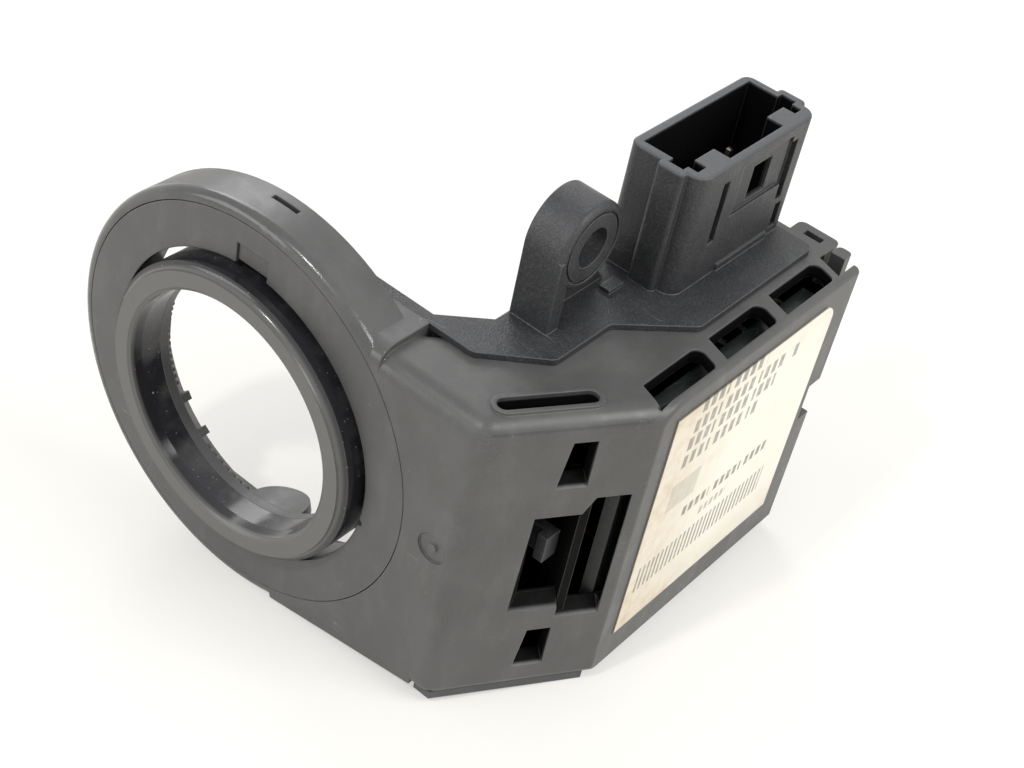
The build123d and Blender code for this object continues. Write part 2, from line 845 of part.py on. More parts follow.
# Rear cover: the bent back wall and its raised flange
with BuildPart() as rear_cover:
    with BuildSketch(Plane.XY.offset(box_bottom)):
        with BuildLine():
            Polyline(
                (0, arm_depth),
                (arm_corner_x, arm_depth),
                (back_face_x, back_corner_y),
                (back_face_x, box_rear_y),
                (cover_inner_x, box_rear_y),
                (cover_inner_x, back_bend_y),
                (arm_bend_x, arm_inner_y),
                (0, arm_inner_y),
                close=True,
            )
        make_face()
    extrude(amount=flange_top - box_bottom)
    with BuildSketch(facing_front(0)):
        Circle(arm_back_radius)
    extrude(amount=-2 * arm_depth, mode=Mode.SUBTRACT)
    with BuildSketch(Plane.XY.offset(box_top)) as flange:
        with BuildLine():
            Polyline(
                (arm_bend_x, arm_inner_y),
                (flange_front_x, arm_inner_y),
                (flange_step_x, flange_step_start_y),
                (flange_step_x, flange_step_end_y),
                (flange_side_x, flange_side_y),
                (flange_side_x, flange_rear_y),
                (back_face_x, flange_rear_y),
                (back_face_x, back_corner_y),
                close=True,
            )
        make_face()
        outer_corners = [v for v in flange.vertices() if v.X > flange_front_x - 1]
        fillet(outer_corners, flange_round)
    extrude(amount=flange_thickness)

    # Foot flange under the box, clear of the arm
    with BuildSketch(Plane.XY.offset(box_bottom)):
        with BuildLine():
            Polyline(
                (back_face_x, back_corner_y),
                (foot_front_x, foot_arm_y),
                (foot_arm_x, foot_arm_y),
                (foot_arm_x, foot_front_y),
                (corner_depth_x(foot_front_y, foot_inset), foot_front_y),
                (foot_tip_x, corner_depth_y(foot_tip_x, foot_inset)),
                (foot_side_x, foot_side_y),
                (foot_side_x, box_rear_y - foot_rear_setback),
                (back_face_x, box_rear_y - foot_rear_setback),
                close=True,
            )
        make_face()
    extrude(amount=-foot_thickness)

    # Connector shroud with its keyed socket
    with BuildSketch(Plane.XY.offset(box_top)) as shroud:
        with Locations((shroud_x, shroud_y)):
            Rectangle(shroud_width, shroud_length, align=(Align.MIN, Align.MIN))
        fillet(shroud.vertices().sort_by(Axis.X)[-2:], shroud_corner)
        fillet(shroud.vertices().sort_by(Axis.X)[:2], shroud_back_corner)
        with Locations((end_rib_x, shroud_y - end_rib_depth)):
            Rectangle(
                end_rib_width,
                shroud_length + 2 * end_rib_depth,
                align=(Align.MIN, Align.MIN),
            )
        rib_corners = shroud.vertices().sort_by(Axis.Y)
        fillet(rib_corners[:2] + rib_corners[-2:], end_rib_round)
    extrude(amount=shroud_top - box_top)
    fillet(rear_cover.edges().group_by(Axis.Z)[-1], shroud_edge_round)
    with BuildSketch(Plane.XY.offset(shroud_top)):
        with Locations((shroud_x + shroud_wall, socket_start_y)):
            Rectangle(
                shroud_width - shroud_wall - key_pocket_wall,
                socket_length,
                align=(Align.MIN, Align.MIN),
            )
        with Locations((shroud_x + shroud_wall, near_key_end_y)):
            Rectangle(
                shroud_width - shroud_wall - shroud_far_wall,
                far_key_y - near_key_end_y,
                align=(Align.MIN, Align.MIN),
            )
        with Locations((end_rib_x + end_rib_wall, socket_start_y - end_rib_depth)):
            Rectangle(
                end_rib_width - 2 * end_rib_wall,
                socket_length + 2 * end_rib_depth,
                align=(Align.MIN, Align.MIN),
            )
        with Locations((key_block_x, near_key_y)):
            Rectangle(
                key_block_length,
                near_key_width,
                align=(Align.MIN, Align.MIN),
                mode=Mode.SUBTRACT,
            )
        with Locations((key_block_x, far_key_y)):
            Rectangle(
                key_block_length,
                far_key_width,
                align=(Align.MIN, Align.MIN),
                mode=Mode.SUBTRACT,
            )
    extrude(amount=socket_floor - shroud_top, mode=Mode.SUBTRACT)
    with BuildSketch(Plane.XY.offset(box_top)):
        with Locations((shroud_x + shroud_wall, socket_start_y)):
            Rectangle(
                shroud_width - shroud_wall - shroud_far_wall,
                socket_length,
                align=(Align.MIN, Align.MIN),
            )
    extrude(amount=socket_floor - socket_floor_thickness - box_top, mode=Mode.SUBTRACT)

    # Recessed panel, grooves and lock window on the shroud's outer side
    with BuildSketch(facing_side(shroud_end_x)):
        with Locations((panel_start_y, panel_low)):
            Rectangle(
                panel_end_y - panel_start_y,
                panel_high - panel_low,
                align=(Align.MIN, Align.MIN),
            )
    extrude(amount=-panel_recess, mode=Mode.SUBTRACT)
    with BuildSketch(facing_side(shroud_end_x)):
        with Locations((lock_window_y, lock_window_low)):
            Rectangle(
                lock_window_width,
                lock_window_high - lock_window_low,
                align=(Align.MIN, Align.MIN),
            )
    extrude(amount=-2 * shroud_far_wall, mode=Mode.SUBTRACT)
    with BuildSketch(facing_side(shroud_end_x)):
        with Locations((near_groove_y, groove_low), (panel_end_y, groove_low)):
            Rectangle(groove_width, groove_high - groove_low, align=(Align.MIN, Align.MIN))
        with Locations((panel_end_y + groove_depth, foot_slot_low)):
            Rectangle(groove_width, foot_slot_high - foot_slot_low, align=(Align.MIN, Align.MIN))
    extrude(amount=-groove_depth, mode=Mode.SUBTRACT)
    with Locations((shroud_end_x, panel_start_y, flange_top)):
        Box(
            foot_ledge_width,
            panel_end_y - panel_start_y,
            foot_ledge_height,
            align=(Align.CENTER, Align.MIN, Align.MIN),
        )

    # Square holes that the terminals pass through
    with BuildSketch(Plane.XY.offset(socket_floor)):
        for row_x in pin_rows:
            for column in range(pin_columns):
                with Locations((row_x, pin_start_y + column * pin_pitch)):
                    Rectangle(pin_size + 2 * pin_hole_gap, pin_size + 2 * pin_hole_gap)
    extrude(amount=-2 * socket_floor_thickness, mode=Mode.SUBTRACT)

    # Fixing lug: web and front wall under a round eye with a shallow groove
    with BuildSketch(facing_side(lug_x)):
        with Locations((lug_centre_y, box_top)):
            Rectangle(2 * lug_radius, lug_rise, align=(Align.CENTER, Align.MIN))
        with Locations((lug_centre_y, lug_centre_z)):
            Circle(lug_groove_radius, mode=Mode.SUBTRACT)
    extrude(amount=lug_web)
    with BuildSketch(facing_side(lug_x)):
        with Locations((lug_front_y, box_top)):
            Rectangle(lug_front_wall, lug_rise, align=(Align.MIN, Align.MIN))
        with Locations((lug_centre_y, lug_centre_z)):
            Circle(lug_radius - lug_edge_round, mode=Mode.SUBTRACT)
    extrude(amount=lug_thickness)
    eye_centre = (lug_x, lug_centre_y, lug_centre_z)
    with BuildSketch(Plane(origin=eye_centre, x_dir=(1, 0, 0), z_dir=(0, 1, 0))):
        with BuildLine():
            Polyline(
                (lug_thickness, lug_radius - lug_edge_round),
                (lug_thickness, lug_groove_radius + lug_groove_width / 2),
                (lug_thickness - lug_groove_depth, lug_groove_radius + lug_groove_width / 2),
                (lug_thickness - lug_groove_depth, lug_groove_radius - lug_groove_width / 2),
                (lug_thickness, lug_groove_radius - lug_groove_width / 2),
                (lug_thickness, lug_hole_radius),
                (0, lug_hole_radius),
                (0, lug_radius),
                (lug_thickness - lug_edge_round, lug_radius),
            )
            RadiusArc(
                (lug_thickness - lug_edge_round, lug_radius),
                (lug_thickness, lug_radius - lug_edge_round),
                lug_edge_round,
            )
        make_face()
    revolve(axis=Axis(eye_centre, (1, 0, 0)))

    # Gusset and small block behind the lug
    with BuildSketch(facing_side(lug_x)):
        with BuildLine():
            Polyline(
                (lug_centre_y + lug_radius - lug_gusset_overlap, flange_top - lug_gusset_overlap),
                (lug_centre_y + lug_radius + lug_gusset_length, flange_top - lug_gusset_overlap),
                (lug_centre_y + lug_radius + lug_gusset_length, flange_top),
                (lug_centre_y + lug_radius - lug_gusset_overlap, flange_top + lug_gusset_height),
                close=True,
            )
        make_face()
    extrude(amount=lug_web)
    with Locations((lug_x + lug_thickness, lug_block_y, flange_top - lug_gusset_overlap)):
        Box(
            lug_block_width,
            lug_block_length,
            lug_gusset_overlap + lug_block_height,
            align=(Align.MAX, Align.MIN, Align.MIN),
        )

    # Snap arms that hook into the housing
    with Locations((front_snap_start, front_snap_y, 0)):
        Box(
            front_snap_end - front_snap_start,
            snap_thickness,
            snap_width,
            align=(Align.MIN, Align.MIN, Align.CENTER),
        )
    with Locations((front_snap_end, front_snap_y, 0)):
        Box(
            snap_thickness,
            snap_lip,
            snap_width,
            align=(Align.MAX, Align.MAX, Align.CENTER),
        )
    with Locations((back_face_x, rear_snap_y, 0)):
        Box(
            rear_snap_reach,
            snap_thickness,
            snap_width,
            align=(Align.MIN, Align.MIN, Align.CENTER),
        )

rear_cover.part.label = "rear_cover"

# Annular cover of the coil channel
with BuildPart() as ring_cover:
    with BuildSketch(facing_front(0)):
        Circle(cover_radius)
        Circle(cover_bore_radius, mode=Mode.SUBTRACT)
        with PolarLocations(cover_bore_radius, 1, start_angle=key_angle):
            Rectangle(2 * key_depth, key_width, mode=Mode.SUBTRACT)
        with PolarLocations(cover_bore_radius, 1, start_angle=bite_angle):
            Circle(bite_radius, mode=Mode.SUBTRACT)
    extrude(amount=-cover_thickness)

ring_cover.part.label = "ring_cover"

# Sleeve that the lock barrel passes through: a channel section, open to the back
with BuildPart() as bezel_sleeve:
    front_y = -sleeve_reach
    with BuildSketch(Plane.XY):
        with BuildLine():
            Polyline(
                (sleeve_radius, front_y + sleeve_edge_round),
                (sleeve_radius, sleeve_seat),
                (sleeve_radius - sleeve_wall, sleeve_seat),
                (sleeve_radius - sleeve_wall, front_y + sleeve_wall),
                (lock_bore_radius + sleeve_wall, front_y + sleeve_wall),
                (lock_bore_radius + sleeve_wall, sleeve_seat),
                (lock_bore_radius, sleeve_seat),
                (lock_bore_radius, front_y + 3 * sleeve_bore_round),
                (lock_bore_radius + sleeve_bore_round / 3, front_y + sleeve_bore_round / 2),
                (lock_bore_radius + sleeve_bore_round, front_y),
                (sleeve_radius - sleeve_edge_round, front_y),
            )
            RadiusArc(
                (sleeve_radius - sleeve_edge_round, front_y),
                (sleeve_radius, front_y + sleeve_edge_round),
                sleeve_edge_round,
            )
        make_face()
    revolve(axis=Axis.Y)

bezel_sleeve.part.label = "bezel_sleeve"

# Bobbin and the antenna coil wound on it
with BuildPart() as coil_bobbin:
    with BuildSketch(Plane.XY):
        with BuildLine():
            Polyline(
                (bobbin_inner_radius, bobbin_front),
                (bobbin_flange_radius, bobbin_front),
                (bobbin_flange_radius, coil_front),
                (coil_inner_radius, coil_front),
                (coil_inner_radius, coil_rear),
                (bobbin_flange_radius, coil_rear),
                (bobbin_flange_radius, bobbin_rear),
                (bobbin_inner_radius, bobbin_rear),
                close=True,
            )
        make_face()
    revolve(axis=Axis.Y)

coil_bobbin.part.label = "coil_bobbin"

with BuildPart() as antenna_coil:
    with BuildSketch(facing_front(coil_front)):
        Circle(coil_radius)
        Circle(coil_inner_radius, mode=Mode.SUBTRACT)
    extrude(amount=coil_front - coil_rear)

antenna_coil.part.label = "antenna_coil"

# The coil's two leads, from the winding to the board
coil_leads = []
for name, side in (("coil_lead_upper", 1), ("coil_lead_lower", -1)):
    start_z = side * lead_spacing / 2
    end_z = side * (snap_width / 2 + lead_spacing)
    lead_start_x = sqrt(coil_radius**2 - (abs(start_z) + lead_radius) ** 2)
    with BuildPart() as coil_lead:
        with BuildLine() as route:
            FilletPolyline(
                (lead_start_x, lead_y, start_z),
                (arm_cavity_x + lead_bend, lead_y, start_z),
                (arm_cavity_x + lead_slack, front_snap_y - 2 * snap_lip, end_z),
                (board_x - 2 * lead_slack, board_start_y + lead_bend, end_z),
                (board_x - lead_slack, board_start_y + lead_slack, end_z),
                (board_x, board_start_y + lead_slack, end_z),
                radius=lead_bend,
            )
        with BuildSketch(Plane(origin=(lead_start_x, lead_y, start_z), z_dir=(1, 0, 0))):
            Circle(lead_radius)
        sweep(path=route.wires()[0])
    coil_lead.part.label = name
    coil_leads.append(coil_lead)

# Circuit board with the terminals' holes
with BuildPart() as circuit_board:
    with BuildSketch(facing_side(board_x)):
        with Locations((board_start_y, board_low)):
            Rectangle(
                board_rear_y - board_start_y,
                board_high - board_low,
                align=(Align.MIN, Align.MIN),
            )
        for drop in pin_row_drops:
            for column in range(pin_columns):
                with Locations((pin_start_y + column * pin_pitch, socket_floor - drop)):
                    Circle(pin_hole_radius, mode=Mode.SUBTRACT)
    extrude(amount=board_thickness)

circuit_board.part.label = "circuit_board"

# Bent square terminals, from the socket down to the board
terminals = []
for row_x, drop in zip(pin_rows, pin_row_drops):
    for column in range(pin_columns):
        pin_y = pin_start_y + column * pin_pitch
        leg_z = socket_floor - drop
        with BuildPart() as terminal:
            with BuildLine() as route:
                FilletPolyline(
                    (row_x, pin_y, pin_tip),
                    (row_x, pin_y, leg_z),
                    (board_front_x + pin_tail, pin_y, leg_z),
                    radius=pin_bend,
                )
            with BuildSketch(Plane(origin=(row_x, pin_y, pin_tip), z_dir=(0, 0, 1))):
                Rectangle(pin_size, pin_size)
            sweep(path=route.wires()[0])
            tip = terminal.faces().sort_by(Axis.Z)[-1]
            chamfer(tip.edges(), pin_size / 4)
        terminal.part.label = f"terminal_{len(terminals) + 1}"
        terminals.append(terminal)


def on_board(y, z):
    """Plane on the board's component side, facing away from it."""
    return Plane(origin=(board_x, y, z), x_dir=(0, -1, 0), z_dir=(-1, 0, 0))


def packaged_chip(y, z, size, leads, lead_sides):
    """Moulded package with rows of bent leads on one, two or four of its sides."""
    length, width, thickness = size
    lead_count, lead_pitch, lead_width = leads
    shoulder = package_standoff + thickness / 2
    with BuildPart(on_board(y, z)) as chip:
        with Locations((0, 0, package_standoff)):
            Box(length, width, thickness, align=(Align.CENTER, Align.CENTER, Align.MIN))
        chamfer(chip.faces().sort_by(Axis.X)[0].edges(), thickness / 8)
        for turn in lead_sides:
            half = length / 2 if turn % 180 == 0 else width / 2
            rows = [(number - (lead_count - 1) / 2) * lead_pitch for number in range(lead_count)]
            with PolarLocations(half, 1, start_angle=turn):
                with Locations([(0, row, shoulder - package_leg) for row in rows]):
                    Box(
                        package_reach,
                        lead_width,
                        package_leg,
                        align=(Align.CENTER, Align.CENTER, Align.MIN),
                    )
                with Locations([(package_reach / 2, row, 0) for row in rows]):
                    Box(
                        package_leg,
                        lead_width,
                        shoulder,
                        align=(Align.MAX, Align.CENTER, Align.MIN),
                    )
                with Locations([(package_reach / 2 - package_leg, row, 0) for row in rows]):
                    Box(
                        package_reach,
                        lead_width,
                        package_leg,
                        align=(Align.MIN, Align.CENTER, Align.MIN),
                    )
    return chip


def small_blocks(places, size):
    """Separate little rectangular components, standing on the board at places."""
    with BuildPart() as blocks:
        for y, z in places:
            with Locations(Location(on_board(y, z))):
                Box(*size, align=(Align.CENTER, Align.CENTER, Align.MIN))
    return blocks


microcontroller = packaged_chip(*controller_place, controller_size, controller_leads, (0, 90, 180, 270))
transceiver_chip = packaged_chip(*transceiver_place, transceiver_size, transceiver_leads, (90, 270))
voltage_regulator = packaged_chip(*regulator_place, regulator_size, regulator_leads, (90,))
protection_diode = packaged_chip(*diode_place, diode_size, diode_leads, (0, 180))
capacitor_y, capacitor_z = capacitor_row_place
capacitor_row = [(capacitor_y + capacitor_row_pitch * step, capacitor_z) for step in range(4)]
capacitor_y, capacitor_z = capacitor_column_place
capacitor_column = [(capacitor_y, capacitor_z - capacitor_column_pitch * step) for step in range(4)]
ceramic_capacitors = small_blocks(capacitor_row + capacitor_column, chip_capacitor_size)
resistor_y, resistor_z = resistor_row_place
resistor_row = [(resistor_y + resistor_row_pitch * step, resistor_z) for step in range(5)]
resistor_y, resistor_z = resistor_column_place
resistor_column = [(resistor_y, resistor_z - resistor_column_pitch * step) for step in range(4)]
chip_resistors = small_blocks(resistor_row + resistor_column, chip_resistor_size)

# Crystal in its rounded metal can
with BuildPart() as crystal_resonator:
    with BuildSketch(on_board(*crystal_place)):
        SlotOverall(crystal_length + 2 * crystal_flange, crystal_width + 2 * crystal_flange)
    extrude(amount=crystal_flange_height)
    with BuildSketch(on_board(*crystal_place)):
        SlotOverall(crystal_length, crystal_width)
    extrude(amount=crystal_height)
    chamfer(crystal_resonator.faces().sort_by(Axis.X)[0].edges(), can_edge)

# Two electrolytic capacitors on their square bases
capacitors = []
for number in range(2):
    capacitor_y = electrolytic_place[0] + number * electrolytic_pitch
    capacitor_z = electrolytic_place[1]
    capacitor_base = 2 * (electrolytic_radius + electrolytic_base_margin)
    with BuildPart() as capacitor:
        with BuildSketch(on_board(capacitor_y, capacitor_z)) as base:
            Rectangle(capacitor_base, capacitor_base)
            chamfer(base.vertices().sort_by(Axis.Z)[-2:], electrolytic_base_height)
        extrude(amount=electrolytic_base_height)
        with BuildSketch(on_board(capacitor_y, capacitor_z)):
            Circle(electrolytic_radius)
        extrude(amount=electrolytic_height)
        chamfer(capacitor.faces().sort_by(Axis.X)[0].edges(), can_edge)
    capacitor.part.label = f"electrolytic_capacitor_{number + 1}"
    capacitors.append(capacitor)

# Drum choke
with BuildPart() as power_inductor:
    with BuildSketch(on_board(*choke_place)):
        Circle(choke_radius)
    extrude(amount=choke_flange)
    with BuildSketch(on_board(*choke_place)):
        Circle(choke_core_radius)
    extrude(amount=choke_height)
    with BuildSketch(on_board(*choke_place).offset(choke_height - choke_flange)):
        Circle(choke_radius)
    extrude(amount=choke_flange)

# Label on the side face, plain
with BuildPart() as label:
    with BuildSketch(facing_side(label_face_x)) as outline:
        with Locations((label_start_y, label_low)):
            Rectangle(
                label_end_y - label_start_y,
                label_high - label_low,
                align=(Align.MIN, Align.MIN),
            )
        corners = outline.vertices().sort_by_distance((label_face_x, label_start_y, label_high))
        fillet(corners[0], label_large_corner)
        fillet(outline.vertices().sort_by_distance((label_face_x, label_end_y, label_low))[0], label_corner)
    extrude(amount=label_thickness)

microcontroller.part.label = "microcontroller"
transceiver_chip.part.label = "transceiver_chip"
voltage_regulator.part.label = "voltage_regulator"
protection_diode.part.label = "protection_diode"
ceramic_capacitors.part.label = "ceramic_capacitors"
chip_resistors.part.label = "chip_resistors"
crystal_resonator.part.label = "crystal_resonator"
power_inductor.part.label = "power_inductor"
label.part.label = "label"

os.makedirs("parts", exist_ok=True)
pieces = [
    main_housing,
    rear_cover,
    ring_cover,
    bezel_sleeve,
    coil_bobbin,
    antenna_coil,
    circuit_board,
    microcontroller,
    transceiver_chip,
    voltage_regulator,
    protection_diode,
    ceramic_capacitors,
    chip_resistors,
    crystal_resonator,
    power_inductor,
    label,
]
for piece in pieces + coil_leads + terminals + capacitors:
    export_step(piece.part, f"parts/{piece.part.label}.step")
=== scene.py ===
"""Dressed scene of an immobiliser ring antenna and control unit.

The CAD nodes keep their shapes. This script gives each of them its finish and sets up the floor,
the lamps and the camera. It adds no geometry to the part.
"""

import json
import logging
import math
from dataclasses import dataclass
from enum import Enum
from typing import Sequence, Union

import bpy
from mathutils import Matrix, Vector


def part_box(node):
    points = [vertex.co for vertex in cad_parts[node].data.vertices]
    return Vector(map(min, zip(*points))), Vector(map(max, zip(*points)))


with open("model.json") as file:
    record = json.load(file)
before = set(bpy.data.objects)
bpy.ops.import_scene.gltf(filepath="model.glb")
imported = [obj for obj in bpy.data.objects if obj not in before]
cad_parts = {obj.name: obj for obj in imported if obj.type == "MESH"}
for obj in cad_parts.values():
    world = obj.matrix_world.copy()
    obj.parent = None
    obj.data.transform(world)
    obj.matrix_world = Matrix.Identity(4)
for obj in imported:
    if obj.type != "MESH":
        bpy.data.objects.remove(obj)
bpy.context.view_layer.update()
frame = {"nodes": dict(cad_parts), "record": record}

MM = 0.001
log = logging.getLogger("scene")

Link = bpy.types.NodeSocket
Number = Union[float, "Value"]
Triple = tuple[float, float, float]
Span = tuple[float, float]

# Sockets of a Mix node set to colours, several of which share a name.
MIX_FACTOR, MIX_LOW, MIX_HIGH, MIX_RESULT = 0, 6, 7, 2
BEVEL_SAMPLES = 6
# Cosines between the softened and the true normal: flat enough for no lighter edge, and fully
# lighter. The lighter edge is partly wear and partly painted highlight.
EDGE_COSINES = (0.98, 0.78)
# Share of a speck's radius inside which it is solid.
SPECK_CORE = 0.6


class Axis(Enum):
    """One of the three directions of the part's frame."""

    X = "X"
    Y = "Y"
    Z = "Z"


@dataclass(frozen=True)
class Cloud:
    """Cloudy noise.

    The size is that of its blotches in metres, detail counts the octaves of finer noise, rough is
    the strength of each finer octave, and stretch scales the place along the axes.
    """

    size: float
    detail: float = 2.0
    rough: float = 0.5
    stretch: Triple | None = None


@dataclass(frozen=True)
class Specks:
    """Small round specks in random places.

    The spacing of their cells and the radius of the largest are in metres, and share is the share
    of the cells that hold one.
    """

    spacing: float
    radius: float
    share: float


@dataclass(frozen=True)
class Layer:
    """A colour that covers the base where it lies, and the strength of its cover."""

    colour: Triple
    strength: float


class Value:
    """A number that varies over a surface, with arithmetic that adds Math nodes."""

    def __init__(self, shader: "Shader", link: Link) -> None:
        """Wraps an output socket of a shader's node."""
        self.shader = shader
        self.link = link

    def _maths(self, operation: str, first: Number, second: Number = 0.0) -> "Value":
        """Adds a Math node for an operation on two numbers."""
        node = self.shader.node("ShaderNodeMath", {"operation": operation}, {0: first, 1: second})
        return Value(self.shader, node.outputs[0])

    def __add__(self, other: Number) -> "Value":
        """Sum."""
        return self._maths("ADD", self, other)

    def __sub__(self, other: Number) -> "Value":
        """Difference."""
        return self._maths("SUBTRACT", self, other)

    def __rsub__(self, other: Number) -> "Value":
        """Difference from a plain number."""
        return self._maths("SUBTRACT", other, self)

    def __mul__(self, other: Number) -> "Value":
        """Product."""
        return self._maths("MULTIPLY", self, other)

    def __lt__(self, other: Number) -> "Value":
        """One where this is less than the other, and zero elsewhere."""
        return self._maths("LESS_THAN", self, other)

    def __gt__(self, other: Number) -> "Value":
        """One where this is more than the other, and zero elsewhere."""
        return self._maths("GREATER_THAN", self, other)

    def root(self) -> "Value":
        """Square root."""
        return self._maths("SQRT", self)

    def most(self, other: Number) -> "Value":
        """The larger of two."""
        return self._maths("MAXIMUM", self, other)

    def least(self, other: Number) -> "Value":
        """The smaller of two."""
        return self._maths("MINIMUM", self, other)

    def away(self) -> "Value":
        """Size without its sign."""
        return self._maths("ABSOLUTE", self)

    def fraction(self) -> "Value":
        """What is left of the number above the whole one below it."""
        return self._maths("FRACT", self)

    def step(self, low: float, high: float) -> "Value":
        """A soft step from zero at low to one at high.

        Args:
            low: Value at which the step starts, which may be the larger one.
            high: Value at which the step ends.

        Returns:
            The step, from zero to one.
        """
        settings = {"interpolation_type": "SMOOTHSTEP"}
        values = {"Value": self, "From Min": low, "From Max": high}
        node = self.shader.node("ShaderNodeMapRange", settings, values)
        return Value(self.shader, node.outputs["Result"])

    def between(self, low: float, high: float, soft: float) -> "Value":
        """One between two values, with soft edges."""
        return self.step(low - soft, low + soft) * self.step(high + soft, high - soft)

    __radd__ = __add__
    __rmul__ = __mul__


class Shader:
    """A procedural material under construction, on the piece's own coordinates."""

    def __init__(self, name: str) -> None:
        """Starts a material with a Principled shader.

        Args:
            name: The material's name.
        """
        self.material = bpy.data.materials.new(name)
        self.material.use_nodes = True
        self.tree = self.material.node_tree
        self.tree.nodes.clear()
        self.surface = self.node("ShaderNodeBsdfPrincipled")
        self.output = self.node("ShaderNodeOutputMaterial")
        self.feed(self.output.inputs["Surface"], self.surface.outputs[0])
        self.place = self.node("ShaderNodeTexCoord").outputs["Object"]
        self.normal: Link | None = None

    def node(
        self,
        kind: str,
        settings: dict[str, object] | None = None,
        values: dict[str | int, object] | None = None,
    ) -> bpy.types.Node:
        """Adds a node.

        Args:
            kind: The node's type.
            settings: Its properties, set first.
            values: What its sockets get: a Value, a socket to link, or a constant.

        Returns:
            The node.
        """
        node = self.tree.nodes.new(kind)
        for name, setting in (settings or {}).items():
            setattr(node, name, setting)
        for key, value in (values or {}).items():
            self.feed(node.inputs[key], value)
        return node

    def feed(self, socket: Link, value: object) -> None:
        """Links or sets an input.

        Args:
            socket: The input.
            value: A Value or a socket to link to it, or a constant to set on it.
        """
        if isinstance(value, Value):
            value = value.link
        if isinstance(value, bpy.types.NodeSocket):
            self.tree.links.new(value, socket)
        else:
            socket.default_value = value

    def set(self, **values: object) -> None:
        """Sets or links the surface shader's inputs, named with underscores."""
        for name, value in values.items():
            self.feed(self.surface.inputs[name.replace("_", " ").title()], value)

    def axis(self, axis: Axis) -> Value:
        """One coordinate of the place on the surface, in metres."""
        node = self.node("ShaderNodeSeparateXYZ", values={0: self.place})
        return Value(self, node.outputs[axis.value])

    def stretched(self, scale: Sequence[float]) -> Link:
        """The place on the surface, stretched along the axes.

        Args:
            scale: What each coordinate is multiplied by.

        Returns:
            The stretched place.
        """
        settings = {"operation": "MULTIPLY"}
        node = self.node("ShaderNodeVectorMath", settings, {0: self.place, 1: tuple(scale)})
        return node.outputs[0]

    def noise(self, cloud: Cloud) -> Value:
        """Cloudy noise.

        Args:
            cloud: What it looks like.

        Returns:
            The noise, about 0.5 in the mean.
        """
        values = {
            "Vector": self.stretched(cloud.stretch) if cloud.stretch else self.place,
            "Scale": 1.0 / cloud.size,
            "Detail": cloud.detail,
            "Roughness": cloud.rough,
        }
        return Value(self, self.node("ShaderNodeTexNoise", values=values).outputs["Fac"])

    def specks(self, specks: Specks) -> Value:
        """Small round specks.

        Args:
            specks: What they look like.

        Returns:
            One in a speck and zero outside.
        """
        values = {"Vector": self.place, "Scale": 1.0 / specks.spacing}
        cells = self.node("ShaderNodeTexVoronoi", values=values)
        distance = Value(self, cells.outputs["Distance"])
        parts = self.node("ShaderNodeSeparateColor", values={0: cells.outputs["Color"]})
        reach = specks.radius / specks.spacing
        grown = Value(self, parts.outputs[0]).step(1.0 - specks.share, 1.0) * reach
        return distance.step(reach, SPECK_CORE * reach) * (distance < grown)

    def mix(self, factor: Number, low: object, high: object) -> Link:
        """A colour between two, by a factor."""
        values = {MIX_FACTOR: factor, MIX_LOW: self.colour(low), MIX_HIGH: self.colour(high)}
        return self.node("ShaderNodeMix", {"data_type": "RGBA"}, values).outputs[MIX_RESULT]

    def lay(self, base: object, where: Value, layer: Layer) -> Link:
        """The base with a layer over it where the value is one."""
        return self.mix(where * layer.strength, base, layer.colour)

    @staticmethod
    def colour(value: object) -> object:
        """A three-part colour with its alpha, or the socket as it is."""
        return (*value[:3], 1.0) if isinstance(value, tuple) else value

    def soften(self, radius: float) -> None:
        """Lets the light run round sharp edges, as if they had a small radius."""
        settings = {"samples": BEVEL_SAMPLES}
        self.normal = self.node("ShaderNodeBevel", settings, {"Radius": radius}).outputs[0]

    def edges(self) -> Value:
        """Where the softened edges are.

        Returns:
            One at the softened edges and zero on flat faces.
        """
        face = self.node("ShaderNodeNewGeometry").outputs["Normal"]
        settings = {"operation": "DOT_PRODUCT"}
        node = self.node("ShaderNodeVectorMath", settings, {0: self.normal, 1: face})
        return Value(self, node.outputs["Value"]).step(*EDGE_COSINES)

    def bump(self, height: Value, depth: float) -> None:
        """Raises the surface by a height, on top of earlier bumps.

        Args:
            height: Height, as a share of depth.
            depth: Height of one, in metres.
        """
        values = {"Height": height, "Distance": depth, "Strength": 1.0}
        if self.normal is not None:
            values["Normal"] = self.normal
        self.normal = self.node("ShaderNodeBump", values=values).outputs[0]
        self.set(normal=self.normal)


def tinted(colour: Triple, gain: float, lift: float = 0.0) -> Triple:
    """A colour times a gain, plus a lift."""
    return tuple(gain * part + lift for part in colour)


@dataclass(frozen=True)
class Fade:
    """A soft step along an axis, from its start to its end in millimetres, with a strength."""

    axis: Axis
    start: float
    end: float
    strength: float = 1.0

    def over(self, shader: Shader) -> Value:
        """The fade over a shader's surface."""
        return shader.axis(self.axis).step(self.start * MM, self.end * MM) * self.strength


